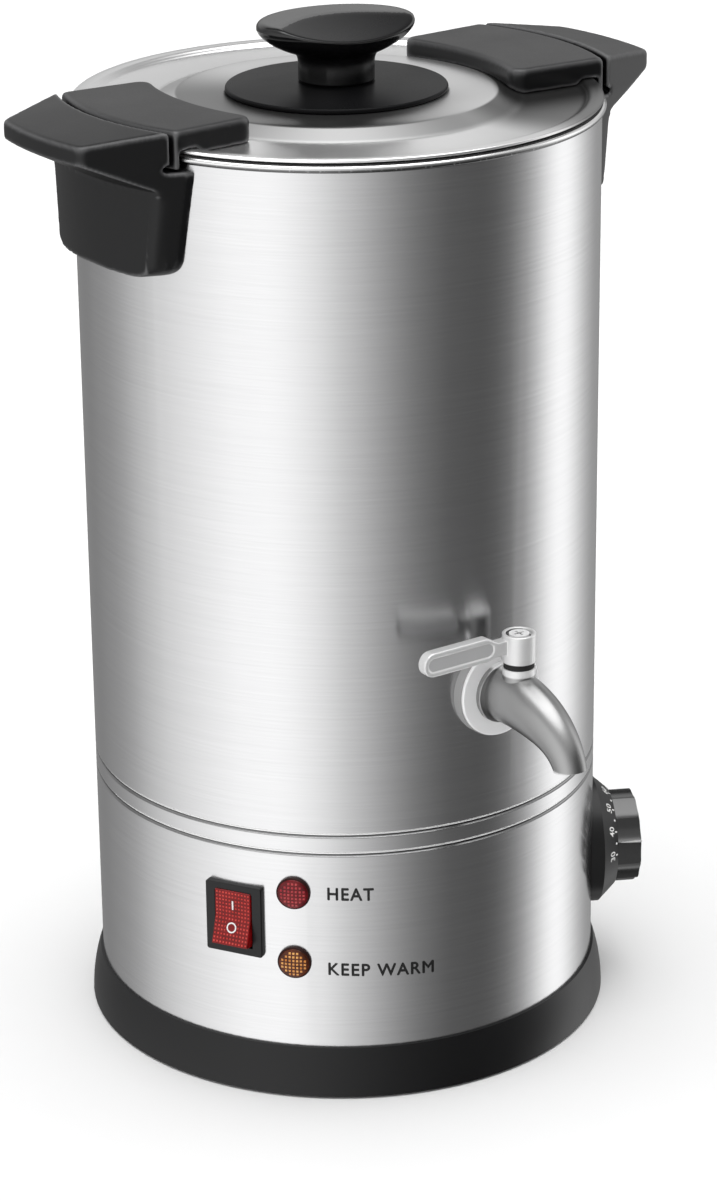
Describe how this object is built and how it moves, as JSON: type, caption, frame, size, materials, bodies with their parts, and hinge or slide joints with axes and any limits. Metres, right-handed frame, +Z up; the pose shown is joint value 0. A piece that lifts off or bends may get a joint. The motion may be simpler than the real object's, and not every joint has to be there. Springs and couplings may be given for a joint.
{
  "type": "candle wax melter",
  "caption": "Tall electric candle wax melter: steel urn with a lever tap, twist lid with a knob, side handles, and a base with rocker switch, lamps and temperature dial.",
  "frame": {"origin": "on the pot's axis, on the surface the foot ring stands on", "axes": "+Z up along the pot, the tap points along -Y, the handles lie on the X axis"},
  "size_m": [0.297, 0.289, 0.4505],
  "materials": {
    "brushed_steel": "brushed round the pot, satin",
    "polished_steel": "polished, slightly satin",
    "zinc_steel": "plain zinc plated",
    "cast_aluminium": "as cast",
    "brass": "plain",
    "black_satin": "satin moulded",
    "black_gloss": "glossy moulded",
    "cream_plastic": "plain moulded",
    "red_lens": "translucent red",
    "amber_lens": "translucent amber",
    "black_rubber": "matt",
    "grey_silicone": "satin",
    "wire": "silicone sleeve"
  },
  "bodies": {
    "vessel": {"base_ring": "black_satin", "centre_stud": "zinc_steel", "dial_bezel": "black_satin", "element_clamp": "zinc_steel", "floor_plate": "zinc_steel", "floor_screws": "zinc_steel", "handle_screws": "zinc_steel", "heat_spreader": "cast_aluminium", "heating_element": "zinc_steel", "heating_lamp_lens": "red_lens", "inlet_housing": "black_satin", "inlet_nuts": "zinc_steel", "inlet_pins": "brass", "inlet_screws": "zinc_steel", "inner_pot": "brushed_steel", "lamp_holders": "black_gloss", "lamp_nuts": "black_satin", "lead_wires": "wire", "left_handle": "black_satin", "outer_shell": "brushed_steel", "right_handle": "black_satin", "rubber_foot_ring": "black_rubber", "separator_plate": "zinc_steel", "stud_nuts": "zinc_steel", "switch_housing": "black_satin", "switch_tabs": "brass", "tap_body": "polished_steel", "tap_inner_seal": "grey_silicone", "tap_nut": "polished_steel", "tap_outer_seal": "grey_silicone", "tap_stem_seal": "black_rubber", "tap_washer": "polished_steel", "terminal_block": "cream_plastic", "thermal_cutout": "cream_plastic", "thermostat_body": "cream_plastic", "thermostat_bulb": "brass", "thermostat_capillary": "brass", "thermostat_screws": "zinc_steel", "warm_lamp_lens": "amber_lens"},
    "tap_lever_body": {"tap_plug": "polished_steel", "tap_lever": "polished_steel", "tap_lever_screw": "polished_steel"},
    "dial": {"temperature_knob": "black_gloss", "thermostat_shaft": "brass"},
    "rocker": {"switch_rocker": "red_lens"},
    "lid_seal": {"lid_gasket": "black_rubber"},
    "lid": {"lid_pan": "brushed_steel", "lid_locating_ring": "brushed_steel", "right_lid_ear": "black_satin", "left_lid_ear": "black_satin", "ear_screws": "zinc_steel", "knob_base": "black_gloss", "lid_knob": "black_gloss", "knob_washer": "zinc_steel", "knob_screw": "zinc_steel"}
  },
  "joints": [
    {"name": "lid_turn", "type": "hinge", "parent": "vessel", "child": "lid_seal", "pos_m": [0, 0, 0.416], "axis": [0, 0, 1], "range_deg": [0, 75]},
    {"name": "lid_lift", "type": "slide", "parent": "lid_seal", "child": "lid", "axis": [0, 0, 1], "range_m": [0, 0.15]},
    {"name": "tap_turn", "type": "hinge", "parent": "vessel", "child": "tap_lever_body", "pos_m": [0, -0.1291, 0.2], "axis": [0, 0, 1], "range_deg": [0, 90]},
    {"name": "dial_turn", "type": "hinge", "parent": "vessel", "child": "dial", "pos_m": [0.10033, -0.0509, 0.0625], "axis": [-0.8918, 0.4524, 0], "range_deg": [-13, 195]},
    {"name": "switch_rock", "type": "hinge", "parent": "vessel", "child": "rocker", "pos_m": [-0.09446, -0.05498, 0.0808], "axis": [0.503, -0.8643, 0], "range_deg": [0, 20]}
  ]
}
